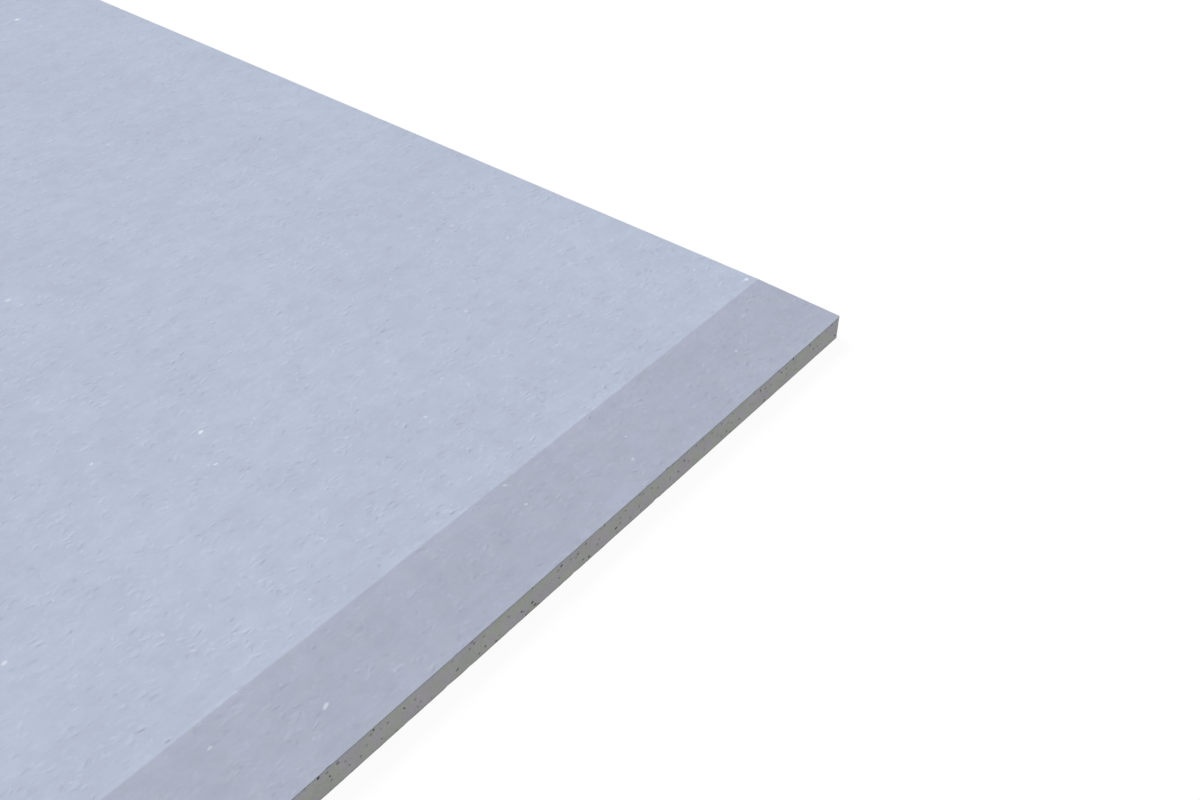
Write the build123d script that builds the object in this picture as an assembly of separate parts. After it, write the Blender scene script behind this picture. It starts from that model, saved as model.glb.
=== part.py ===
"""Full drywall sheet, lying flat with its face up.

A gypsum core is sandwiched between a face paper and a back paper, and both papers end flush
with the core, so the core is bare on all four edges. The face dips to a shallow taper along
each long edge, where joint tape and compound go, and is flat between the two tapers. The back
is flat.

Frame: +X along the sheet, +Y across it, +Z up out of its face. The origin is the middle of the
back, on the floor that the sheet lies on. All sizes are in millimetres.
"""

import os

from build123d import *

# Driving dimensions
sheet_length = 2400.0
sheet_width = 1200.0
sheet_thickness = 12.5
taper_width = 42.0  # from the long edge in to the crease where the flat field starts
taper_depth = 1.2  # how much thinner the sheet is at the long edge than in the field
face_paper_thickness = 0.4
back_paper_thickness = 0.4


def face_line(depth):
    """Points across the sheet, from one long edge to the other, that far below the face."""
    half_width = sheet_width / 2
    half_field = half_width - taper_width
    field_height = sheet_thickness - depth
    edge_height = field_height - taper_depth
    return [
        (-half_width, edge_height),
        (-half_field, field_height),
        (half_field, field_height),
        (half_width, edge_height),
    ]


def back_line(height):
    """Points across the sheet, from one long edge to the other, that far above the back."""
    return [(-sheet_width / 2, height), (sheet_width / 2, height)]


def layer(lower_line, upper_line):
    """One layer of the sheet: the section between two lines across it, run its whole length."""
    outline = Polyline(*lower_line, *reversed(upper_line), close=True)
    section = make_face(Plane.YZ * outline)
    return extrude(section, amount=sheet_length / 2, both=True)


layers = {
    "back_paper": layer(back_line(0), back_line(back_paper_thickness)),
    "gypsum_core": layer(back_line(back_paper_thickness), face_line(face_paper_thickness)),
    "face_paper": layer(face_line(face_paper_thickness), face_line(0)),
}

os.makedirs("parts", exist_ok=True)
for name, shape in layers.items():
    export_step(shape, f"parts/{name}.step")
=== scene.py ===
"""Finishes the drywall sheet: its face paper, its bare gypsum core and its back paper.

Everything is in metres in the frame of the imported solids: +X along the sheet, +Y across it, +Z up
out of its face, with the origin at the middle of the back. Each layer is modelled over its solid
and takes the solid's place, with the cut edges, air bubbles, raised fibres and lint of the real
sheet.
"""

import contextlib
import math
import random

import bmesh
import bpy
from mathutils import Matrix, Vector


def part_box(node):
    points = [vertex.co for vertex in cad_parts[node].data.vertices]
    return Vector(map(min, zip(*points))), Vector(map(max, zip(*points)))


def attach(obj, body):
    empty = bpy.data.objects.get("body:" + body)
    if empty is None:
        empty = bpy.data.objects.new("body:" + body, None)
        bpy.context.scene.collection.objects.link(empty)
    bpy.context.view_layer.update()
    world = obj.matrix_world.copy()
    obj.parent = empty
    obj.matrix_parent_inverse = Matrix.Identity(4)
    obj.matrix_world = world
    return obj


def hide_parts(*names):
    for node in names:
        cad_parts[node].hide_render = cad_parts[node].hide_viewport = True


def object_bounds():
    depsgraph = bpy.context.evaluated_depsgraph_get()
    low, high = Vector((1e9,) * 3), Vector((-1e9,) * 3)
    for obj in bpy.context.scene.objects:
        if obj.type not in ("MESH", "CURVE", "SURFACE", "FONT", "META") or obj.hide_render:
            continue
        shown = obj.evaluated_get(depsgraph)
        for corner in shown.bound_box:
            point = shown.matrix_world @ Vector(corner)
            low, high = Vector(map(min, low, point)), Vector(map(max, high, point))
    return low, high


bl_info = {
    "name": "Drywall sheet",
    "version": (1, 0, 0),
    "blender": (4, 5, 0),
    "location": "View3D > Sidebar > Drywall",
    "description": "Models and finishes a drywall sheet around its packed solids",
    "category": "Object",
}

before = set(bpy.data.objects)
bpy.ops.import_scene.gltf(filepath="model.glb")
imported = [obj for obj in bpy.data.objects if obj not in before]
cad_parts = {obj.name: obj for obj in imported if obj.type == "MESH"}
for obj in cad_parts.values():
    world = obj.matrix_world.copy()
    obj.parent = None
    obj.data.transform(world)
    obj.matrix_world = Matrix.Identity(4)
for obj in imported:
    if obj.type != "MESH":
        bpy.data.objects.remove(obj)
cad_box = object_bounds()

MILLIMETRE = 0.001
NEAR = 0.00001  # how close a point has to be to count as lying on a line or plane
NICK_DEPTHS = (0.08 * MILLIMETRE, 0.15 * MILLIMETRE, 0.25 * MILLIMETRE)
NICK_SPAN = 0.49  # how far from the middle of its side a nick may lie, of the side's length
NOISE_SPAN = (0.28, 0.72)  # the usual lowest and highest value of a noise
CUT_SLOT = 1  # the material of a paper's cut edges, or of the air bubbles
LINT_SLOT = 2  # the lint's material
LINT_FACES = 8  # faces of one speck of lint

# The export map, in its own points
MAP_SIDE = 1024
SIDE_ACROSS = (2, 1022)  # where the hidden and the shown side lie across the map, and up it
HIDDEN_UP = (3, 27)
SHOWN_UP = (104, 1022)
EDGE_ACROSS = (12, 1012)  # where the rows of cut edge lie across the map
EDGE_UP = (32, 1022)  # and up it, where no side shows
EDGE_ROW = 6  # height of a row, where a side shows
PAPER_IN_ROW = (0.1, 0.9)  # the part of a row's height that a paper's edge takes
CORE_IN_ROW = (0.04, 0.96)
LINT_START = (12.5, 72.5)  # the lowest corner of the first speck of lint
LINT_CELL = 4
LINT_SPECK = 3  # what a speck takes of its cell
LINT_ACROSS = 250  # cells in a row

# Lint that shows at the corner: millimetres from the end and from the long edge, length, width,
# tone, and its turn from the sheet's length in degrees
CORNER_LINT = (
    (220.5, 150.5, 3.0, 1.8, 0.95, 10),
    (228.5, 131.5, 2.2, 1.2, 0.8, -20),
    (277.5, 17.0, 3.8, 1.6, 0.55, 24),
    (283.5, 14.5, 5.6, 0.8, 0.12, 24),
    (310.0, 32.0, 2.4, 1.4, 0.35, 5),
    (3.7, 46.0, 2.6, 1.8, 1.0, 0),
    (49.0, 544.5, 4.0, 2.8, 0.9, 15),
    (257.5, 167.5, 2.0, 1.4, 0.6, 30),
    (330.5, 108.5, 2.6, 1.8, 0.7, 0),
    (217.5, 286.0, 3.4, 2.4, 0.6, -15),
)


def taper_of(node):
    """Width and depth of the slope along each long edge of a solid's top."""
    low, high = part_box(node)
    points = [vertex.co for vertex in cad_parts[node].data.vertices]
    crease = max(point.y for point in points if point.z > high.z - NEAR)
    edge_top = max(point.z for point in points if point.y > high.y - NEAR)
    return high.y - crease, high.z - edge_top


# Settings

class SheetSettings(bpy.types.PropertyGroup):
    cell: bpy.props.FloatProperty(
        name="Cell",
        description="Side of the even cells that the flat of each layer is divided into",
        default=40 * MILLIMETRE,
        unit="LENGTH",
    )
    cut_step: bpy.props.FloatProperty(
        name="Cut step",
        description="Distance between the points along a cut edge",
        default=2 * MILLIMETRE,
        unit="LENGTH",
    )
    corner_radius: bpy.props.FloatProperty(
        name="Corner radius",
        description="How far each upright corner of the sheet is worn round",
        default=0.6 * MILLIMETRE,
        unit="LENGTH",
    )
    recess: bpy.props.FloatProperty(
        name="Recess",
        description="How far the core and back paper lie behind the cut edge of the face paper",
        default=0.08 * MILLIMETRE,
        unit="LENGTH",
    )
    paper_waviness: bpy.props.FloatProperty(
        name="Paper waviness",
        description="How far the cut edges of both papers stray to either side",
        default=0.08 * MILLIMETRE,
        unit="LENGTH",
    )
    nick_count: bpy.props.IntProperty(
        name="Nick count",
        description="Small notches in the cut edges of each paper",
        default=160,
    )


class FacePaperSettings(bpy.types.PropertyGroup):
    relief: bpy.props.FloatProperty(
        name="Relief",
        description="Room above the paper for the lint that stands up from it",
        default=0.1 * MILLIMETRE,
        unit="LENGTH",
    )
    lint_count: bpy.props.IntProperty(
        name="Lint count",
        description="Pale specks of lint on the whole face",
        default=1500,
    )
    fibre_count: bpy.props.IntProperty(
        name="Fibre count",
        description="Raised fibres on the whole face, besides the finer ones in the material",
        default=24000,
    )
    field_colour: bpy.props.FloatVectorProperty(
        name="Field colour",
        description="Colour of the flat of the face",
        default=(0.475, 0.523, 0.647),
        subtype="COLOR",
    )
    taper_colour: bpy.props.FloatVectorProperty(
        name="Taper colour",
        description="Colour of the slopes along the long edges",
        default=(0.411, 0.441, 0.545),
        subtype="COLOR",
    )
    # The face paper's cut edge is darker than its plies alone: partly their own colour, partly
    # painted shade under the paper's lip
    ply_and_shade_colour: bpy.props.FloatVectorProperty(
        name="Ply colour",
        description="Colour of the paper's inner plies, which show on its cut edges",
        default=(0.22, 0.235, 0.275),
        subtype="COLOR",
    )
    lint_colour: bpy.props.FloatVectorProperty(
        name="Lint colour",
        description="Colour of the palest lint",
        default=(0.80, 0.83, 0.90),
        subtype="COLOR",
    )


class CoreSettings(bpy.types.PropertyGroup):
    rows: bpy.props.IntProperty(
        name="Rows",
        description="Rows of faces up each cut side of the core",
        default=7,
    )
    waviness: bpy.props.FloatProperty(
        name="Cut waviness",
        description="How far the cut side of the core strays to either side",
        default=0.1 * MILLIMETRE,
        unit="LENGTH",
    )
    bubble_count: bpy.props.IntProperty(
        name="Bubble count",
        description="Air bubbles that the cut has opened, around the whole sheet",
        default=900,
    )
    bubble_size: bpy.props.FloatProperty(
        name="Bubble size",
        description="Width of the largest air bubble",
        default=1.7 * MILLIMETRE,
        unit="LENGTH",
    )
    colour: bpy.props.FloatVectorProperty(
        name="Core colour",
        description="Colour of the cut gypsum",
        default=(0.366, 0.369, 0.37),
        subtype="COLOR",
    )
    # Painted shade: the open air bubbles are coloured darker than the cut gypsum, for the shade in
    # their hollows
    bubble_shade_colour: bpy.props.FloatVectorProperty(
        name="Bubble colour",
        description="Colour inside the open air bubbles",
        default=(0.24, 0.245, 0.235),
        subtype="COLOR",
    )


class BackPaperSettings(bpy.types.PropertyGroup):
    colour: bpy.props.FloatVectorProperty(
        name="Paper colour",
        description="Colour of the back paper",
        default=(0.42, 0.40, 0.36),
        subtype="COLOR",
    )
    # The back paper's cut edge is darker than its plies alone: partly their own colour, partly
    # painted shade along the sheet's foot
    ply_and_shade_colour: bpy.props.FloatVectorProperty(
        name="Ply colour",
        description="Colour of the paper's inner plies, which show on its cut edges",
        default=(0.25, 0.25, 0.245),
        subtype="COLOR",
    )


class StageSettings(bpy.types.PropertyGroup):
    camera_from_corner: bpy.props.FloatVectorProperty(
        name="Camera from corner",
        description="Where the camera stands, from the foot of the corner that it looks at",
        default=(-424.0 * MILLIMETRE, -209.5 * MILLIMETRE, 344.6 * MILLIMETRE),
        subtype="TRANSLATION",
        unit="LENGTH",
    )
    camera_heading: bpy.props.FloatProperty(
        name="Camera heading",
        description="Which way the camera looks, turned from +X towards +Y",
        default=math.radians(38.86),
        subtype="ANGLE",
    )
    camera_pitch: bpy.props.FloatProperty(
        name="Camera pitch",
        description="How far the camera looks down from level",
        default=math.radians(39.45),
        subtype="ANGLE",
    )
    camera_lens: bpy.props.FloatProperty(
        name="Camera lens",
        description="Focal length in millimetres over a sensor 36 mm wide",
        default=39.85,
    )
    lamp_strength: bpy.props.FloatProperty(
        name="Lamp strength",
        description="Strength of the soft lamp",
        default=1.8,
    )
    surround_strength: bpy.props.FloatProperty(
        name="Surround strength",
        description="Strength of the even light from all round",
        default=0.54,
    )
    floor_size: bpy.props.FloatProperty(
        name="Floor size",
        description="Side of the pale floor",
        default=60.0,
        unit="LENGTH",
    )


# Modelling helpers

def active_object():
    return bpy.context.view_layer.objects.active


def deselect_all():
    bpy.ops.object.select_all(action="DESELECT")


def take(piece):
    """Makes this the one selected and active object."""
    deselect_all()
    piece.select_set(True)
    bpy.context.view_layer.objects.active = piece


def add_primitive(add, **shape):
    """A primitive made by that operator, with its place in its mesh."""
    deselect_all()
    add(calc_uvs=False, **shape)
    bpy.ops.object.transform_apply()
    return active_object()


@contextlib.contextmanager
def editing(piece, action="DESELECT"):
    """Edit mode on one piece, with none of it selected at first, or all for SELECT."""
    take(piece)
    bpy.ops.object.mode_set(mode="EDIT")
    bpy.ops.mesh.select_all(action=action)
    yield
    bpy.ops.object.mode_set(mode="OBJECT")


def pick(kind, wanted):
    """Selects only the vertices, edges or faces of the piece in edit mode that are wanted."""
    mesh = bpy.context.edit_object.data
    bpy.ops.mesh.select_mode(type=kind)
    bpy.ops.mesh.select_all(action="DESELECT")
    shape = bmesh.from_edit_mesh(mesh)
    elements = {"VERT": shape.verts, "EDGE": shape.edges, "FACE": shape.faces}[kind]
    for element in elements:
        if wanted(element):
            element.select_set(True)
    shape.select_flush_mode()
    bmesh.update_edit_mesh(mesh)


def is_upright(face):
    """Whether a face stands steeper than 60 degrees."""
    return abs(face.normal.z) < 0.5


def face_outwards(piece):
    with editing(piece, "SELECT"):
        bpy.ops.mesh.normals_make_consistent(inside=False)


def add_blank(name, size, top, taper=(0, 0)):
    """A flat of even cells at that height, with finely divided edges. Along both long edges it
    slopes down by the taper's width and depth."""
    sheet = bpy.context.scene.sheet
    taper_width, taper_depth = taper
    field = (size[0], size[1] - 2 * taper_width)
    blank = add_primitive(
        bpy.ops.mesh.primitive_grid_add,
        x_subdivisions=round(field[0] / sheet.cell),
        y_subdivisions=round(field[1] / sheet.cell),
        size=1,
        location=(0, 0, top),
    )
    blank.name = name
    with editing(blank, "SELECT"):
        bpy.ops.transform.resize(value=(field[0], field[1], 1), center_override=(0, 0, top))
        for side in (-1, 1) if taper_width else ():
            rim = field[1] / 2 - NEAR
            pick("EDGE", lambda edge: all(v.co.y * side > rim for v in edge.verts))
            bpy.ops.mesh.extrude_region_move(
                TRANSFORM_OT_translate={"value": (0, side * taper_width, -taper_depth)}
            )
        pick("EDGE", lambda edge: edge.is_boundary)
        bpy.ops.mesh.subdivide(number_cuts=round(sheet.cell / sheet.cut_step) - 1, ngon=False)
    return blank


def wear_corners(blank, size):
    """Rounds the four corners of a flat blank."""
    radius = bpy.context.scene.sheet.corner_radius
    with editing(blank):
        pick("VERT", lambda v: all(abs(v.co[i]) > size[i] / 2 - NEAR for i in (0, 1)))
        bpy.ops.mesh.bevel(offset=radius, affect="VERTICES", segments=3)


def nick_edges(blank, size, seed):
    """Pushes single points of a flat blank's edges in, shared out by the length of each edge."""
    sheet = bpy.context.scene.sheet
    chance = random.Random(seed)
    reach = sheet.cut_step * 0.55  # just over half a step takes one point
    with editing(blank):
        for axis, side in ((0, -1), (0, 1), (1, -1), (1, 1)):
            across = 1 - axis
            share = size[across] / (2 * size[0] + 2 * size[1])
            for depth in NICK_DEPTHS:
                spots = [
                    chance.uniform(-NICK_SPAN, NICK_SPAN) * size[across]
                    for _ in range(round(sheet.nick_count * share / len(NICK_DEPTHS)))
                ]
                pick(
                    "VERT",
                    lambda vertex: vertex.co[axis] * side > size[axis] / 2 - NEAR
                    and any(abs(vertex.co[across] - spot) < reach for spot in spots),
                )
                push = [0, 0, 0]
                push[axis] = -side * depth
                bpy.ops.transform.translate(value=push)


def thicken(blank, top, bottom, rows):
    """Draws a blank down to a flat bottom, in that many rows of side faces."""
    with editing(blank, "SELECT"):
        step = (top - bottom) / rows
        for row in range(1, rows + 1):
            bpy.ops.mesh.extrude_region_move(TRANSFORM_OT_translate={"value": (0, 0, -step)})
            bpy.ops.transform.resize(
                value=(1, 1, (rows - row) / (rows - row + 1)),
                center_override=(0, 0, top - row * step),
            )
    face_outwards(blank)


def roughen_cut(piece, size, waviness, grain):
    """Makes the four cut sides stray in and out, with bumps about one grain long."""
    for index, axis in enumerate("XY"):
        reach = size[index] / 2 - bpy.context.scene.sheet.corner_radius
        group = piece.vertex_groups.new(name=f"cut_{axis}")
        on_cut = [v.index for v in piece.data.vertices if abs(v.co[index]) > reach]
        group.add(on_cut, 1.0, "REPLACE")
        texture = bpy.data.textures.new(f"{piece.name}_cut_{axis}", "CLOUDS")
        texture.noise_scale = grain
        texture.noise_depth = 3
        rough = piece.modifiers.new(f"cut_{axis}", "DISPLACE")
        rough.texture = texture
        rough.texture_coords = "LOCAL"
        rough.direction = axis
        rough.vertex_group = group.name
        rough.mid_level = 0.5
        rough.strength = 2 * waviness
    take(piece)
    for axis in "XY":
        bpy.ops.object.modifier_apply(modifier=f"cut_{axis}")
    piece.vertex_groups.clear()


def shape_small(small, length, width, height):
    """Gives a new primitive that is centred on the origin its size."""
    with editing(small, "SELECT"):
        bpy.ops.transform.resize(value=(length, width, height), center_override=(0, 0, 0))


def add_face_guide(size, margin, top, taper):
    """The flat of the face and its two slopes, without that margin all round, as three faces
    for things to be scattered on."""
    length, width = (side - 2 * margin for side in size)
    crease = (size[1] / 2 - taper[0]) / width
    fall = taper[1] * (1 - margin / taper[0])
    grid = bpy.ops.mesh.primitive_grid_add
    guide = add_primitive(grid, x_subdivisions=1, y_subdivisions=3, size=1, location=(0, 0, top))
    outer, inner = 1 / 2, 1 / 6  # where the four rows of points start
    with editing(guide):
        pick("VERT", lambda vertex: abs(vertex.co.y) > outer - NEAR)
        bpy.ops.transform.translate(value=(0, 0, -fall))
        pick("VERT", lambda vertex: abs(vertex.co.y) < inner + NEAR)
        bpy.ops.transform.resize(value=(1, crease / inner, 1), center_override=(0, 0, top))
        bpy.ops.mesh.select_all(action="SELECT")
        bpy.ops.transform.resize(value=(length, width, 1), center_override=(0, 0, top))
    return guide


def add_edge_guide(size, bottom, top):
    """The four cut sides, as four faces for things to be scattered on."""
    middle = (0, 0, (bottom + top) / 2)
    guide = add_primitive(bpy.ops.mesh.primitive_cube_add, size=1, location=middle)
    with editing(guide, "SELECT"):
        bpy.ops.transform.resize(value=(*size, top - bottom), center_override=middle)
        pick("FACE", lambda face: not is_upright(face))
        bpy.ops.mesh.delete(type="FACE")
    return guide


def join_to(piece, parts):
    """Makes the parts one mesh with the piece."""
    take(piece)
    for part in parts:
        part.select_set(True)
    bpy.ops.object.join()


def fade_to_rim(small):
    """Stores how high each point stands, for a colour that fades out towards the rim."""
    heights = [vertex.co.z for vertex in small.data.vertices]
    low, high = min(heights), max(heights)
    fade = small.data.attributes.new("fade", "FLOAT", "POINT")
    fade.data.foreach_set("value", [(height - low) / (high - low) for height in heights])


def remove(piece):
    take(piece)
    bpy.ops.object.delete()


# Node helpers, for materials and for scattering

def feed(tree, socket, value):
    """Links an input to another node's output, or sets it to a value."""
    if isinstance(value, bpy.types.NodeSocket):
        tree.links.new(value, socket)
    elif socket.type == "RGBA":
        socket.default_value = (*value, 1.0)
    else:
        socket.default_value = value


def add_node(tree, kind, settings=None, **inputs):
    """A node with its settings and its inputs."""
    node = tree.nodes.new(kind)
    for name, value in (settings or {}).items():
        setattr(node, name, value)
    for name, value in inputs.items():
        label = name.replace("_", " ")
        feed(tree, next(s for s in node.inputs if s.name == label and s.enabled), value)
    return node


def result(node, name=None):
    """A node's output of that name, or else the first that is in use."""
    return next(s for s in node.outputs if s.enabled and name in (None, s.name))


def output_of(tree, kind, settings=None, **inputs):
    """The first output of a new node."""
    return result(add_node(tree, kind, settings, **inputs))


def combine(tree, operation, *values, kind="ShaderNodeMath"):
    """The result of an operation on some values."""
    node = add_node(tree, kind, {"operation": operation})
    for socket, value in zip(node.inputs, values):
        feed(tree, socket, value)
    return result(node)


# Scattering

def chance_of(tree, low, high, seed, kind="FLOAT"):
    """A random value for each copy."""
    settings = {"data_type": kind}
    return output_of(tree, "FunctionNodeRandomValue", settings, Min=low, Max=high, Seed=seed)


def scatter(guide, template, seed, spread, sizes, tones, where=None, spacing=0.0):
    """Turns a guide surface into random copies of a small template that lie on it.

    `spread` is how many lie on a square metre and the widest that they turn from the sheet's
    length, `sizes` the smallest and largest scale, and `tones` the lowest and highest tone and
    how rare the high ones are. `where` gives a node that is true where a copy may lie, and
    `spacing` keeps them at least that far apart."""
    tree = bpy.data.node_groups.new("scatter", "GeometryNodeTree")
    for way in ("INPUT", "OUTPUT"):
        tree.interface.new_socket("Geometry", in_out=way, socket_type="NodeSocketGeometry")
    surface = output_of(tree, "NodeGroupInput")
    density, widest_turn = spread
    if spacing:
        method, amount = "POISSON", {"Distance_Min": spacing, "Density_Max": density}
    else:
        method, amount = "RANDOM", {"Density": density}
    points = add_node(
        tree,
        "GeometryNodeDistributePointsOnFaces",
        {"distribute_method": method},
        Mesh=surface,
        Seed=seed,
        **amount,
    )
    swing = chance_of(tree, -1.0, 1.0, seed + 1)  # cubed, so that most copies turn little
    swing = combine(tree, "MULTIPLY", swing, combine(tree, "MULTIPLY", swing, swing))
    swing = combine(tree, "MULTIPLY", swing, widest_turn)
    turn = output_of(tree, "ShaderNodeCombineXYZ", Z=swing)
    lie = output_of(
        tree,
        "FunctionNodeAlignRotationToVector",
        {"axis": "Z"},
        Rotation=output_of(tree, "FunctionNodeEulerToRotation", Euler=turn),
        Vector=result(points, "Normal"),
    )
    small = add_node(tree, "GeometryNodeObjectInfo", Object=template, As_Instance=True)
    copies = add_node(
        tree,
        "GeometryNodeInstanceOnPoints",
        Points=result(points),
        Instance=result(small, "Geometry"),
        Rotation=lie,
        Scale=chance_of(tree, *sizes, seed + 2, "FLOAT_VECTOR"),
    )
    if where:
        feed(tree, copies.inputs["Selection"], where(tree))
    low_tone, high_tone, rarity = tones
    tone = combine(tree, "POWER", chance_of(tree, 0.0, 1.0, seed + 3), rarity)
    tone = combine(tree, "ADD", combine(tree, "MULTIPLY", tone, high_tone - low_tone), low_tone)
    toned = output_of(
        tree,
        "GeometryNodeStoreNamedAttribute",
        {"data_type": "FLOAT", "domain": "INSTANCE"},
        Geometry=result(copies),
        Name="tone",
        Value=tone,
    )
    shape = output_of(tree, "GeometryNodeRealizeInstances", Geometry=toned)
    add_node(tree, "NodeGroupOutput", Geometry=shape)
    guide.modifiers.new("scatter", "NODES").node_group = tree
    take(guide)
    bpy.ops.object.modifier_apply(modifier="scatter")
    bpy.data.node_groups.remove(tree)
    remove(template)


def in_clumps(width):
    """Says where a copy may lie: in clumps about that wide, with ragged rims."""
    least, most = 0.38, 0.62  # how thick a clump has to be, by chance, for a copy to lie there

    def test(tree):
        place = output_of(tree, "GeometryNodeInputPosition")
        thick = output_of(tree, "ShaderNodeTexNoise", Vector=place, Scale=1 / width, Detail=1.0)
        return combine(tree, "GREATER_THAN", thick, chance_of(tree, least, most, seed=90))

    return test


# Material helpers

def new_finish(name, roughness, gloss):
    """A material, its node tree, its shader and the object coordinates that patterns use."""
    material = bpy.data.materials.new(name)
    material.use_nodes = True
    tree = material.node_tree
    shader = tree.nodes["Principled BSDF"]
    shader.inputs["Roughness"].default_value = roughness
    shader.inputs["Specular IOR Level"].default_value = gloss
    place = add_node(tree, "ShaderNodeTexCoord").outputs["Object"]
    return material, tree, shader, place


def scaled_place(tree, place, size, stretch=(1, 1, 1), turn=0.0, seed=0.0):
    """Coordinates in which features of that size, drawn out by the stretch, are one unit long."""
    return output_of(
        tree,
        "ShaderNodeMapping",
        {"vector_type": "TEXTURE"},
        Vector=place,
        Location=(seed, -seed, seed / 2),
        Rotation=(0, 0, turn),
        Scale=tuple(size * s for s in stretch),
    )


def noise(tree, place, size, detail=2.0, stretch=(1, 1, 1), turn=0.0, seed=0.0):
    """Even noise with features about that size."""
    where = scaled_place(tree, place, size, stretch, turn, seed)
    return output_of(
        tree, "ShaderNodeTexNoise", Vector=where, Scale=1.0, Detail=detail, Roughness=0.55
    )


def ramp(tree, value, low, high, to_low=0.0, to_high=1.0):
    """The value carried smoothly from one range to another, and held beyond it."""
    return output_of(
        tree,
        "ShaderNodeMapRange",
        {"interpolation_type": "SMOOTHSTEP"},
        Value=value,
        From_Min=low,
        From_Max=high,
        To_Min=to_low,
        To_Max=to_high,
    )


def stored(tree, name):
    """A value that is stored on the mesh, which is nought where it has none."""
    settings = {"attribute_type": "GEOMETRY", "attribute_name": name}
    return add_node(tree, "ShaderNodeAttribute", settings).outputs["Fac"]


def grey(tree, value):
    """A grey of that value."""
    return output_of(tree, "ShaderNodeCombineColor", Red=value, Green=value, Blue=value)


def tint(tree, amount, under, over, blend="MIX"):
    """One colour laid over another by an amount."""
    settings = {"data_type": "RGBA", "blend_type": blend}
    return output_of(tree, "ShaderNodeMix", settings, Factor=amount, A=under, B=over)


def dyed(tree, colour, dye, amount=1.0):
    """A colour multiplied by another, by an amount."""
    return tint(tree, amount, colour, dye, "MULTIPLY")


def shaded(tree, colour, value, low, high):
    """A colour made darker or lighter, from one factor to another, as a noise value goes from
    its usual lowest to its usual highest."""
    return dyed(tree, colour, grey(tree, ramp(tree, value, *NOISE_SPAN, low, high)))


def lay_on(tree, shader, colour, relief, depth):
    """Gives the shader its colour, and a relief of that depth."""
    feed(tree, shader.inputs["Base Color"], colour)
    bump = output_of(tree, "ShaderNodeBump", Height=relief, Distance=depth)
    feed(tree, shader.inputs["Normal"], bump)


def bent(tree, place, size, reach, seed):
    """Coordinates that wander a part of the reach to and fro, over about that size."""
    where = scaled_place(tree, place, size, seed=seed)
    sway = add_node(tree, "ShaderNodeTexNoise", Vector=where, Scale=1.0, Detail=1.0)
    values = (result(sway, "Color"), (reach, reach, reach), place)
    return combine(tree, "MULTIPLY_ADD", *values, kind="ShaderNodeVectorMath")


def strokes(tree, place, length, width, turn, share, seed):
    """Short separate marks, some raised and some pressed in, on that share of narrow cells."""
    where = scaled_place(tree, place, length, (1, width / length, 1), turn, seed)
    flat = {"voronoi_dimensions": "2D"}
    cells = add_node(tree, "ShaderNodeTexVoronoi", flat, Vector=where, Scale=1.0)
    chances = add_node(tree, "ShaderNodeSeparateColor", Color=cells.outputs["Color"]).outputs
    shape = ramp(tree, cells.outputs["Distance"], 0.42, 0.0)
    shown = combine(tree, "GREATER_THAN", chances["Red"], 1 - share)
    shape = combine(tree, "MULTIPLY", shape, shown)
    sign = ramp(tree, chances["Green"], 0.15, 0.45, -1.0, 1.0)  # three in ten are pressed in
    strength = ramp(tree, chances["Blue"], 0.0, 1.0, 0.35, 1.0)
    return combine(tree, "MULTIPLY", shape, combine(tree, "MULTIPLY", sign, strength))


def winding_fibres(tree, place, length, width, turn, seed):
    """Thin winding lines along the mid level of a drawn-out noise, broken into lengths."""
    line = noise(tree, place, width * 3, 1.0, (length / width / 2, 1, 1), turn, seed)
    near_line = combine(tree, "ABSOLUTE", combine(tree, "SUBTRACT", line, 0.5))
    drawn = ramp(tree, near_line, 0.035, 0.0)
    broken = ramp(tree, noise(tree, place, length, 1.0, seed=seed + 7), 0.53, 0.60)
    return combine(tree, "MULTIPLY", drawn, broken)


# Finishes

def paper_ground(tree, place):
    """The plain colour of the face, and a share that is nought on its flat and one on its
    slopes, which are a little darker and greyer. The crease wanders a little, and a faintly
    paler line of painted highlight runs along it and along the long edge."""
    paper = bpy.context.scene.face_paper
    across = result(add_node(tree, "ShaderNodeSeparateXYZ", Vector=place), "Y")
    wander = combine(tree, "MULTIPLY", noise(tree, place, 9 * MILLIMETRE), 0.5 * MILLIMETRE)
    from_middle = combine(tree, "ADD", combine(tree, "ABSOLUTE", across), wander)

    def beyond(line, start, end):
        """A share that grows from nought to one between two distances from a line."""
        return ramp(tree, from_middle, line + start * MILLIMETRE, line + end * MILLIMETRE)

    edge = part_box("face_paper")[1].y
    crease = edge - taper_of("face_paper")[0] + 0.2 * MILLIMETRE
    on_taper = beyond(crease, -0.5, 0.5)
    colour = tint(tree, on_taper, paper.field_colour, paper.taper_colour)
    # Painted highlight: a faintly paler line just inside the crease and along the long edge
    painted_highlight_lines = combine(tree, "ADD", beyond(crease, -2.5, -0.6), beyond(edge, -2.2, -0.6))
    painted_highlight = combine(tree, "MAXIMUM", combine(tree, "SUBTRACT", painted_highlight_lines, on_taper), 0.0)
    return dyed(tree, colour, (1.015, 1.015, 1.01), painted_highlight), on_taper


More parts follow.
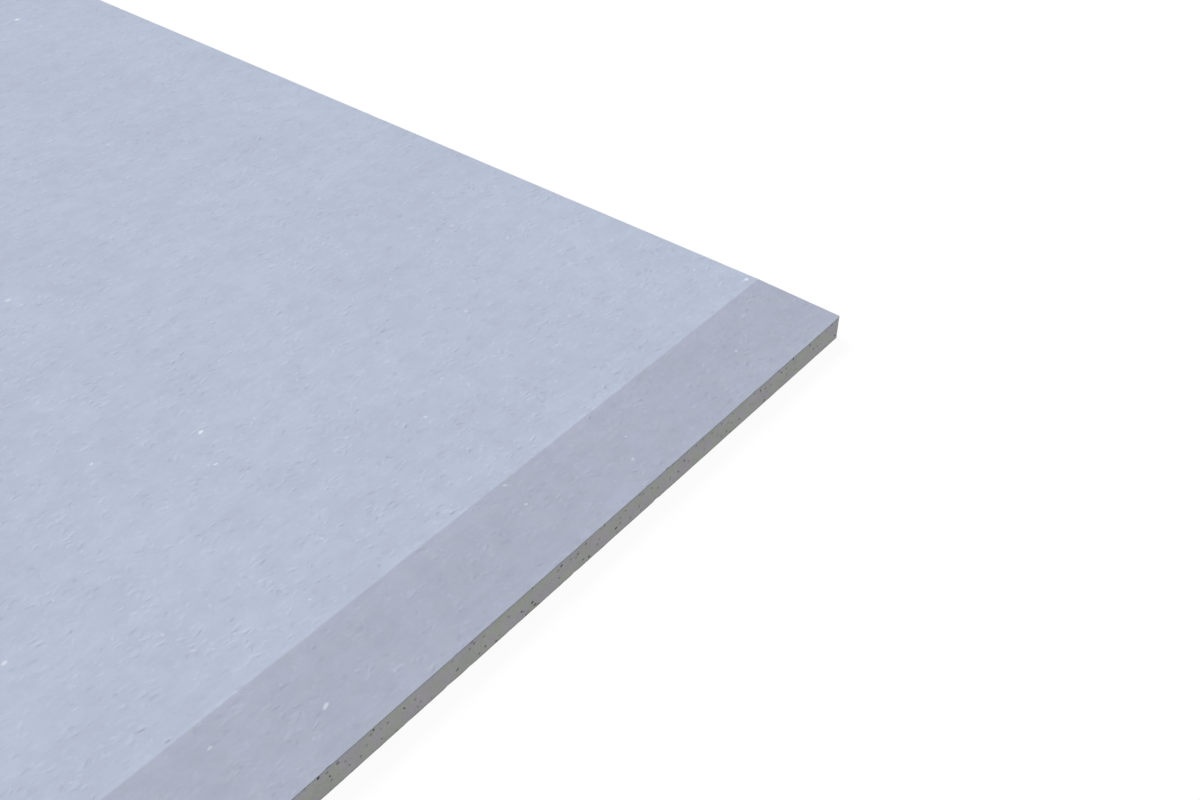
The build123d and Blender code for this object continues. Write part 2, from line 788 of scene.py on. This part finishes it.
def face_paper_finish():
    """Pale blue-grey paper, a little darker on the tapers, with fibres pressed into it."""
    material, tree, shader, place = new_finish("face_paper", 0.85, 0.02)
    colour, on_taper = paper_ground(tree, place)

    # Mottling, and very faint streaks along the sheet
    colour = shaded(tree, colour, noise(tree, place, 60 * MILLIMETRE, 3.0), 0.985, 1.015)
    colour = shaded(tree, colour, noise(tree, place, 8 * MILLIMETRE, 2.0, seed=2), 0.973, 1.027)
    streak = noise(tree, place, 25 * MILLIMETRE, 2.0, (40, 1, 1), seed=6)
    colour = shaded(tree, colour, streak, 0.99, 1.01)
    drawn = noise(tree, place, 2.4 * MILLIMETRE, 2.0, (7, 1, 1), seed=8)
    colour = shaded(tree, colour, drawn, 0.985, 1.015)
    warm = ramp(tree, noise(tree, place, 7 * MILLIMETRE, 2.0, seed=3), 0.4, 0.6)
    blotch = tint(tree, warm, (1.0, 0.995, 1.01), (0.995, 1.005, 0.985))
    colour = dyed(tree, colour, blotch, on_taper)

    # Fibres and dents pressed into the paper, mostly along the sheet and thicker in patches
    clusters = noise(tree, place, 14 * MILLIMETRE, 2.0, seed=11)
    thick = ramp(tree, clusters, 0.40, 0.60, 0.15, 0.95)
    curled = bent(tree, place, 6 * MILLIMETRE, 4.5 * MILLIMETRE, 5.0)
    height = 0.0
    for length, width, turn, share, seed in (
        (6.4, 3.3, 0.15, 0.42, 1.0),
        (5.2, 3.0, -0.2, 0.34, 2.0),
        (4.6, 3.0, 0.8, 0.38, 4.0),
    ):
        length, width = length * MILLIMETRE, width * MILLIMETRE
        marks = strokes(tree, curled, length, width, turn, share, seed)
        height = combine(tree, "ADD", marks, height)
    thick = combine(tree, "MULTIPLY", thick, ramp(tree, on_taper, 0.0, 1.0, 1.0, 0.75))
    height = combine(tree, "MULTIPLY", height, thick)
    # Painted light and shade: raised marks are coloured lighter and pressed ones a little darker,
    # standing in for the light on their relief
    colour = shaded(tree, colour, combine(tree, "ADD", height, 0.5), 0.987, 1.05)

    # Fine grain
    grain = noise(tree, place, 0.9 * MILLIMETRE, 2.0, (1.8, 1, 1), seed=12)
    colour = shaded(tree, colour, grain, 0.985, 1.015)

    # Raised fibres are a shade darker or paler than the paper, most of them paler: partly their own
    # tone, partly painted light that lifts their shaded sides
    tone = combine(tree, "MULTIPLY", stored(tree, "tone"), stored(tree, "fade"))
    colour = dyed(tree, colour, grey(tree, combine(tree, "ADD", tone, 1.0)))

    relief = combine(tree, "ADD", height, combine(tree, "MULTIPLY", grain, 0.25))
    lay_on(tree, shader, colour, relief, 0.24 * MILLIMETRE)
    return material


def lint_finish():
    """Pale fluff, which fades into the paper at its rim."""
    material, tree, shader, place = new_finish("lint", 0.95, 0.15)
    tone = combine(tree, "MULTIPLY", stored(tree, "tone"), stored(tree, "fade"))
    ground, _ = paper_ground(tree, place)
    colour = tint(tree, tone, ground, bpy.context.scene.face_paper.lint_colour)
    fluff = noise(tree, place, 0.5 * MILLIMETRE, 2.0)
    lay_on(tree, shader, shaded(tree, colour, fluff, 0.94, 1.06), fluff, 0.06 * MILLIMETRE)
    return material


def paper_ply_finish(name, base):
    """The cut edge of a paper: fine layers, a little rough, on a base colour darkened as painted
    shade.
    """
    material, tree, shader, place = new_finish(name, 0.95, 0.15)
    layers = noise(tree, place, 0.12 * MILLIMETRE, 1.0, (25, 25, 1))
    colour = shaded(tree, base, layers, 0.9, 1.1)
    colour = shaded(tree, colour, noise(tree, place, 4 * MILLIMETRE, 2.0), 0.94, 1.06)
    lay_on(tree, shader, colour, layers, 0.04 * MILLIMETRE)
    return material


def core_finish(name, base):
    """Cut gypsum: even grey with faint olive and violet blotches, grain, and fine pores that
    are darkened as painted shade in their hollows.
    """
    material, tree, shader, place = new_finish(name, 0.95, 0.15)
    colour = shaded(tree, base, noise(tree, place, 7 * MILLIMETRE, 2.0), 0.97, 1.03)
    warm = ramp(tree, noise(tree, place, 6 * MILLIMETRE, 1.0, seed=2), 0.42, 0.58)
    blotch = tint(tree, warm, (0.98, 1.015, 0.94), (1.02, 0.985, 1.05))
    colour = dyed(tree, colour, blotch)
    grain = noise(tree, place, 0.7 * MILLIMETRE, 2.0)
    colour = shaded(tree, colour, grain, 0.93, 1.07)
    where = scaled_place(tree, place, 3.2 * MILLIMETRE)
    cells = add_node(tree, "ShaderNodeTexVoronoi", Vector=where, Scale=1.0)
    pores = ramp(tree, cells.outputs["Distance"], 0.09, 0.22, 1.0, 0.0)
    # Painted shade: the fine pores are darkened for the shade in their hollows
    colour = dyed(tree, colour, (0.62, 0.62, 0.61), pores)

    # Painted shade under the face paper's lip: the top of the cut side is darker and bluer
    height = result(add_node(tree, "ShaderNodeSeparateXYZ", Vector=place), "Z")
    edge_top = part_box("gypsum_core")[1].z - taper_of("gypsum_core")[1]
    lip_shade = ramp(tree, height, edge_top - 1.9 * MILLIMETRE, edge_top - 0.2 * MILLIMETRE)
    colour = dyed(tree, colour, (0.91, 0.95, 1.02), lip_shade)
    relief = combine(tree, "SUBTRACT", grain, combine(tree, "MULTIPLY", pores, 1.2))
    lay_on(tree, shader, colour, relief, 0.09 * MILLIMETRE)
    return material


def back_paper_finish():
    """Plain recycled paper: grey-tan, mottled, with darker and paler fibres."""
    material, tree, shader, place = new_finish("back_paper", 0.9, 0.2)
    colour = bpy.context.scene.back_paper.colour
    colour = shaded(tree, colour, noise(tree, place, 50 * MILLIMETRE, 4.0), 0.95, 1.05)
    streak = noise(tree, place, 20 * MILLIMETRE, 2.0, (40, 1, 1), seed=6)
    colour = shaded(tree, colour, streak, 0.97, 1.03)
    dark = winding_fibres(tree, place, 5 * MILLIMETRE, 0.5 * MILLIMETRE, 0.3, 3.0)
    colour = dyed(tree, colour, (0.80, 0.78, 0.76), dark)
    pale = winding_fibres(tree, place, 6 * MILLIMETRE, 0.6 * MILLIMETRE, -0.4, 5.0)
    colour = dyed(tree, colour, (1.15, 1.15, 1.15), pale)
    grain = noise(tree, place, 0.9 * MILLIMETRE, 2.0, (1.8, 1, 1), seed=12)
    colour = shaded(tree, colour, grain, 0.95, 1.05)
    relief = combine(tree, "ADD", combine(tree, "ADD", dark, pale), grain)
    lay_on(tree, shader, colour, relief, 0.04 * MILLIMETRE)
    return material


# Export map

def place_round_edge(centre, low, high):
    """The axis that a face of a cut side runs along, and where that side begins on the way
    round the sheet."""
    length, width = high.x - low.x, high.y - low.y
    if high.x - abs(centre.x) < high.y - abs(centre.y):
        return 1, length if centre.x > 0 else 2 * length + width
    return 0, 0 if centre.y < 0 else length + width


def lint_cells(mesh):
    """For each face of the lint, the cell of its speck and the speck's lowest and highest x
    and y."""
    faces = [face for face in mesh.polygons if face.material_index == LINT_SLOT]
    cells = {}
    for start in range(0, len(faces), LINT_FACES):
        speck = faces[start : start + LINT_FACES]
        points = [mesh.vertices[index].co for face in speck for index in face.vertices]
        places = zip(*(point.xy for point in points))
        spans = [(min(line), max(line)) for line in places]
        for face in speck:
            cells[face.index] = (start // LINT_FACES, spans)
    return cells


def along(span, share):
    """The place at that share of the way from one end of a span to the other."""
    start, end = span
    return start + (end - start) * share


def add_export_map(piece, node, shown, run):
    """Lays the piece out flat for the export to bake its finish on. From the bottom up, the
    map has the hidden side, squeezed small, the cut edges in rows of that run of edge each,
    the lint with a small cell for each speck, and the side that shows. `shown` is 1 for the
    top, -1 for the bottom and 0 for neither."""
    low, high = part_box(node)
    mesh = piece.data
    cells = lint_cells(mesh)
    rows = round(2 * ((high.x - low.x) + (high.y - low.y)) / run)
    row_height = EDGE_ROW if shown else (EDGE_UP[1] - EDGE_UP[0]) / rows
    places = []
    for face in mesh.polygons:
        points = [mesh.vertices[index].co for index in face.vertices]
        if face.index in cells and face.normal.z > 0:
            cell, spans = cells[face.index]
            row, column = divmod(cell, LINT_ACROSS)
            for point in points:
                for axis, step in ((0, column), (1, row)):
                    near, far = spans[axis]
                    share = (point[axis] - near) / (far - near)
                    places.append(LINT_START[axis] + LINT_CELL * step + LINT_SPECK * share)
        elif face.material_index == CUT_SLOT or is_upright(face):
            axis, start = place_round_edge(face.center, low, high)
            row = (start + face.center[axis] - low[axis]) // run
            for point in points:
                share = (start + point[axis] - low[axis]) / run - row
                if shown:
                    height = along(PAPER_IN_ROW, 0 if point.z < face.center.z else 1)
                else:
                    height = along(CORE_IN_ROW, (point.z - low.z) / (high.z - low.z))
                places.append(along(EDGE_ACROSS, share))
                places.append(EDGE_UP[0] + row_height * (row + height))
        else:
            up = SHOWN_UP if face.normal.z * shown > 0 else HIDDEN_UP
            for point in points:
                places.append(along(SIDE_ACROSS, (point.x - low.x) / (high.x - low.x)))
                places.append(along(up, (point.y - low.y) / (high.y - low.y)))
    flat = mesh.uv_layers.new(name="OFBake")
    flat.uv.foreach_set("vector", [place / MAP_SIDE for place in places])


# Pieces

def cut_size(node, margin):
    """Length and width of a solid, less that margin all round."""
    low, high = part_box(node)
    return high.x - low.x - 2 * margin, high.y - low.y - 2 * margin


def finish_piece(piece, node, shown, run):
    """Shades and maps the piece, hangs it on the one body, and hides the solid whose place
    it takes."""
    take(piece)
    bpy.ops.object.shade_smooth_by_angle(angle=math.radians(35))
    add_export_map(piece, node, shown, run)
    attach(piece, "root")
    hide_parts(node)


def finish_cut_edges(piece, material):
    """Gives the upright cut edges of a paper their own material."""
    piece.data.materials.append(material)
    with editing(piece):
        pick("FACE", is_upright)
        piece.active_material_index = CUT_SLOT
        bpy.ops.object.material_slot_assign()


class DRYWALL_OT_face_paper(bpy.types.Operator):
    """Models the face paper with its tapers, cut edges, raised fibres and lint"""

    bl_idname = "drywall.face_paper"
    bl_label = "Face paper"

    def execute(self, context):
        settings = context.scene.face_paper
        waviness = context.scene.sheet.paper_waviness
        low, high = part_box("face_paper")
        size = cut_size("face_paper", waviness)
        taper = taper_of("face_paper")
        top = high.z - settings.relief
        bottom = low.z + taper[1]
        paper = add_blank("face_paper", size, top, taper)
        wear_corners(paper, size)
        nick_edges(paper, size, seed=1)
        down = (0, 0, bottom - top)
        with editing(paper, "SELECT"):
            bpy.ops.mesh.extrude_region_move(TRANSFORM_OT_translate={"value": down})
        face_outwards(paper)
        roughen_cut(paper, size, waviness, 5 * MILLIMETRE)
        paper.data.materials.append(face_paper_finish())
        # The cut edges carry the plies' own colour and painted shade under the paper's lip
        finish_cut_edges(paper, paper_ply_finish("face_paper_ply", settings.ply_and_shade_colour))
        area = size[0] * size[1]
        fibres = self.scatter_fibres(paper, size, top, taper, settings.fibre_count / area)
        fluff = lint_finish()
        lint = self.scatter_lint(fluff, size, top, taper, settings.lint_count / area)
        specks = self.lay_corner_lint(fluff, (high.x, high.y), top, taper)
        join_to(paper, [fibres, lint, *specks])
        finish_piece(paper, "face_paper", shown=1, run=1.2)
        return {"FINISHED"}

    def scatter_fibres(self, paper, size, top, taper, density):
        """Low slim ridges, mostly along the sheet and in clumps, a fifth of each sunk in."""
        cone = bpy.ops.mesh.primitive_cone_add
        fibre = add_primitive(cone, vertices=4, radius1=0.5, depth=1, location=(0, 0, 0.3))
        shape_small(fibre, 3.8 * MILLIMETRE, 1.6 * MILLIMETRE, 0.08 * MILLIMETRE)
        fade_to_rim(fibre)
        fibre.data.materials.append(paper.data.materials[0])
        guide = add_face_guide(size, 3 * MILLIMETRE, top, taper)
        scatter(
            guide,
            fibre,
            seed=31,
            spread=(2 * density, 2.2),  # about half of them fall outside the clumps
            sizes=((0.5, 0.6, 0.5), (1.5, 1.3, 1.3)),
            # mostly paler, partly as painted light on the fibres' shaded sides
            tones=(-0.02, 0.16, 1.0),
            where=in_clumps(18 * MILLIMETRE),
        )
        return guide

    def add_speck(self, fluff):
        """One low uneven flake, about a millimetre each way, a tenth of it sunk in."""
        cone = bpy.ops.mesh.primitive_cone_add
        speck = add_primitive(
            cone, vertices=6, radius1=0.6, radius2=0.25, depth=1, location=(0, 0, 0.4)
        )
        shape_small(speck, MILLIMETRE, MILLIMETRE, MILLIMETRE)
        with editing(speck, "SELECT"):
            bpy.ops.transform.vertex_random(offset=0.12 * MILLIMETRE, seed=4)
            bpy.ops.transform.resize(value=(1, 1, 0.07), center_override=(0, 0, 0))
        fade_to_rim(speck)
        speck.data.materials.append(fluff)
        return speck

    def scatter_lint(self, fluff, size, top, taper, density):
        """Faint specks all over the face."""
        guide = add_face_guide(size, 4 * MILLIMETRE, top, taper)
        scatter(
            guide,
            self.add_speck(fluff),
            seed=21,
            spread=(density, math.pi),
            sizes=((1.0, 0.8, 0.5), (2.7, 1.7, 1.1)),
            tones=(0.16, 0.46, 1.0),
        )
        return guide

    def lay_corner_lint(self, fluff, corner, top, taper):
        """The specks that show at the corner, each a copy of one."""
        model = self.add_speck(fluff)
        specks = []
        for from_end, from_edge, length, width, tone, turn in CORNER_LINT:
            take(model)
            bpy.ops.object.duplicate(linked=False)
            speck = active_object()
            slope = max(0.0, 1 - from_edge * MILLIMETRE / taper[0])
            speck.location = (
                corner[0] - from_end * MILLIMETRE,
                -corner[1] + from_edge * MILLIMETRE,
                top - slope * taper[1],
            )
            speck.scale = (length, width, 1.2)
            speck.rotation_euler = (0, 0, math.radians(turn))
            bpy.ops.object.transform_apply()
            shade = speck.data.attributes.new("tone", "FLOAT", "POINT")
            shade.data.foreach_set("value", [tone] * len(speck.data.vertices))
            specks.append(speck)
        remove(model)
        return specks


class DRYWALL_OT_gypsum_core(bpy.types.Operator):
    """Models the gypsum core with its crumbled cut sides and open air bubbles"""

    bl_idname = "drywall.gypsum_core"
    bl_label = "Gypsum core"

    def execute(self, context):
        settings = context.scene.gypsum_core
        low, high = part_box("gypsum_core")
        size = cut_size("gypsum_core", context.scene.sheet.recess + settings.waviness)
        core = add_blank("gypsum_core", size, high.z, taper_of("gypsum_core"))
        wear_corners(core, size)
        thicken(core, high.z, low.z, settings.rows)
        roughen_cut(core, size, settings.waviness, 3 * MILLIMETRE)
        core.data.materials.append(core_finish("gypsum_core", settings.colour))
        # The air bubbles' material is the core's, darker as painted shade in the hollows
        core.data.materials.append(core_finish("air_bubble_shade", settings.bubble_shade_colour))
        edge_top = high.z - taper_of("gypsum_core")[1]
        bubbles = self.scatter_bubbles(core, size, low.z, edge_top)
        self.open_bubbles(core, bubbles)
        finish_piece(core, "gypsum_core", shown=0, run=0.3)
        return {"FINISHED"}

    def scatter_bubbles(self, core, size, bottom, top):
        """Uneven balls with their middles on the cut sides, clear of each other. Most that are
        tried fall outside the clumps or too close to another."""
        settings = bpy.context.scene.gypsum_core
        width = settings.bubble_size
        ball = add_primitive(bpy.ops.mesh.primitive_ico_sphere_add, subdivisions=2, radius=0.5)
        shape_small(ball, width, width, width)
        for material in core.data.materials:
            ball.data.materials.append(material)
        with editing(ball, "SELECT"):
            bpy.ops.transform.vertex_random(offset=0.08 * width, seed=3)
            ball.active_material_index = CUT_SLOT
            bpy.ops.object.material_slot_assign()
        area = 2 * (size[0] + size[1]) * (top - bottom)
        guide = add_edge_guide(size, bottom, top)
        scatter(
            guide,
            ball,
            seed=41,
            spread=(2.6 * settings.bubble_count / area, math.pi),
            sizes=((0.4, 0.3, 0.4), (1.0, 0.7, 1.0)),
            tones=(0, 0, 1),
            where=in_clumps(10 * MILLIMETRE),
            spacing=1.2 * width,
        )
        return guide

    def open_bubbles(self, core, bubbles):
        """Cuts the balls out of the core, and clears up the slivers that this leaves."""
        cut = core.modifiers.new("open_bubbles", "BOOLEAN")
        cut.operation = "DIFFERENCE"
        cut.solver = "MANIFOLD"
        cut.object = bubbles
        take(core)
        bpy.ops.object.modifier_apply(modifier=cut.name)
        remove(bubbles)
        with editing(core, "SELECT"):
            bpy.ops.mesh.remove_doubles(threshold=NEAR / 10)
            bpy.ops.mesh.select_all(action="SELECT")
            bpy.ops.mesh.dissolve_degenerate(threshold=NEAR / 10)


class DRYWALL_OT_back_paper(bpy.types.Operator):
    """Models the back paper with its cut edges"""

    bl_idname = "drywall.back_paper"
    bl_label = "Back paper"

    def execute(self, context):
        sheet = context.scene.sheet
        low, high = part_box("back_paper")
        size = cut_size("back_paper", sheet.recess + sheet.paper_waviness)
        paper = add_blank("back_paper", size, high.z)
        wear_corners(paper, size)
        nick_edges(paper, size, seed=2)
        thicken(paper, high.z, low.z, 1)
        roughen_cut(paper, size, sheet.paper_waviness, 5 * MILLIMETRE)
        paper.data.materials.append(back_paper_finish())
        # The cut edges carry the plies' own colour and painted shade along the sheet's foot
        ply_and_shade_colour = context.scene.back_paper.ply_and_shade_colour
        finish_cut_edges(paper, paper_ply_finish("back_paper_ply", ply_and_shade_colour))
        finish_piece(paper, "back_paper", shown=-1, run=1.2)
        return {"FINISHED"}


class DRYWALL_OT_stage(bpy.types.Operator):
    """Sets the pale floor, the soft light and the camera over one corner of the sheet"""

    bl_idname = "drywall.stage"
    bl_label = "Stage"

    def execute(self, context):
        settings = context.scene.stage
        low, high = cad_box
        floor = add_primitive(
            bpy.ops.mesh.primitive_plane_add,
            size=settings.floor_size,
            location=(0, 0, low.z - 0.1 * MILLIMETRE),
        )
        floor.name = "floor"
        floor.data.materials.append(self.floor_finish())

        world = bpy.data.worlds.new("surround")
        context.scene.world = world
        world.use_nodes = True
        self.surround_finish(world.node_tree, settings.surround_strength)

        lean, heading, softness = (math.radians(angle) for angle in (-38, -6, 20))
        bpy.ops.object.light_add(type="SUN", location=(0, 0, 3), rotation=(lean, 0, heading))
        lamp = active_object()
        lamp.name = "soft_lamp"
        lamp.data.energy = settings.lamp_strength
        lamp.data.angle = softness

        corner = Vector((high.x, low.y, low.z))
        bpy.ops.object.camera_add(
            location=corner + Vector(settings.camera_from_corner),
            rotation=(
                math.radians(90) - settings.camera_pitch,
                0,
                settings.camera_heading - math.radians(90),
            ),
        )
        camera = active_object()
        camera.name = "camera"
        camera.data.lens = settings.camera_lens
        camera.data.sensor_width = 36
        camera.data.clip_start = 0.01
        context.scene.camera = camera
        context.scene.view_settings.view_transform = "Standard"
        return {"FINISHED"}

    def seen_directly(self, tree):
        """True for what the camera sees, also in a gloss or through glass."""
        path = add_node(tree, "ShaderNodeLightPath").outputs
        seen = combine(tree, "MAXIMUM", path["Is Camera Ray"], path["Is Glossy Ray"])
        return combine(tree, "MAXIMUM", seen, path["Is Transmission Ray"])

    def floor_finish(self):
        """A floor that shines up evenly and keeps a faint shadow. With the light that it
        catches, its glow adds up to white where it is seen directly."""
        material, tree, shader, _ = new_finish("floor", 1.0, 0.0)
        base, glow, glow_seen = 0.07, 0.785, 0.931
        feed(tree, shader.inputs["Base Color"], (base, base, base))
        feed(tree, shader.inputs["Emission Color"], (1, 1, 1))
        strength = ramp(tree, self.seen_directly(tree), 0.0, 1.0, glow, glow_seen)
        feed(tree, shader.inputs["Emission Strength"], strength)
        return material

    def surround_finish(self, tree, strength):
        """Even light from all round that shows white."""
        background = tree.nodes["Background"]
        feed(tree, background.inputs["Color"], (1, 1, 1))
        level = ramp(tree, self.seen_directly(tree), 0.0, 1.0, strength, 1.0)
        feed(tree, background.inputs["Strength"], level)


class DRYWALL_PT_panel(bpy.types.Panel):
    """Lists the pieces of the sheet and the stage"""

    bl_label = "Drywall sheet"
    bl_idname = "DRYWALL_PT_panel"
    bl_space_type = "VIEW_3D"
    bl_region_type = "UI"
    bl_category = "Drywall"

    def draw(self, context):
        for group in SETTINGS:
            box = self.layout.box()
            settings = getattr(context.scene, group)
            for name in settings.__annotations__:
                box.prop(settings, name)
            if group in STEPS:
                box.operator(STEPS[group].bl_idname)


SETTINGS = {
    "sheet": SheetSettings,
    "face_paper": FacePaperSettings,
    "gypsum_core": CoreSettings,
    "back_paper": BackPaperSettings,
    "stage": StageSettings,
}
STEPS = {
    "face_paper": DRYWALL_OT_face_paper,
    "gypsum_core": DRYWALL_OT_gypsum_core,
    "back_paper": DRYWALL_OT_back_paper,
    "stage": DRYWALL_OT_stage,
}


def register():
    for group, kind in SETTINGS.items():
        bpy.utils.register_class(kind)
        setattr(bpy.types.Scene, group, bpy.props.PointerProperty(type=kind))
    for operator in STEPS.values():
        bpy.utils.register_class(operator)
    bpy.utils.register_class(DRYWALL_PT_panel)


def unregister():
    bpy.utils.unregister_class(DRYWALL_PT_panel)
    for operator in STEPS.values():
        bpy.utils.unregister_class(operator)
    for group, kind in SETTINGS.items():
        delattr(bpy.types.Scene, group)
        bpy.utils.unregister_class(kind)


def main():
    register()
    bpy.ops.drywall.face_paper()
    bpy.ops.drywall.gypsum_core()
    bpy.ops.drywall.back_paper()
    bpy.ops.drywall.stage()


if __name__ == "__main__":
    main()
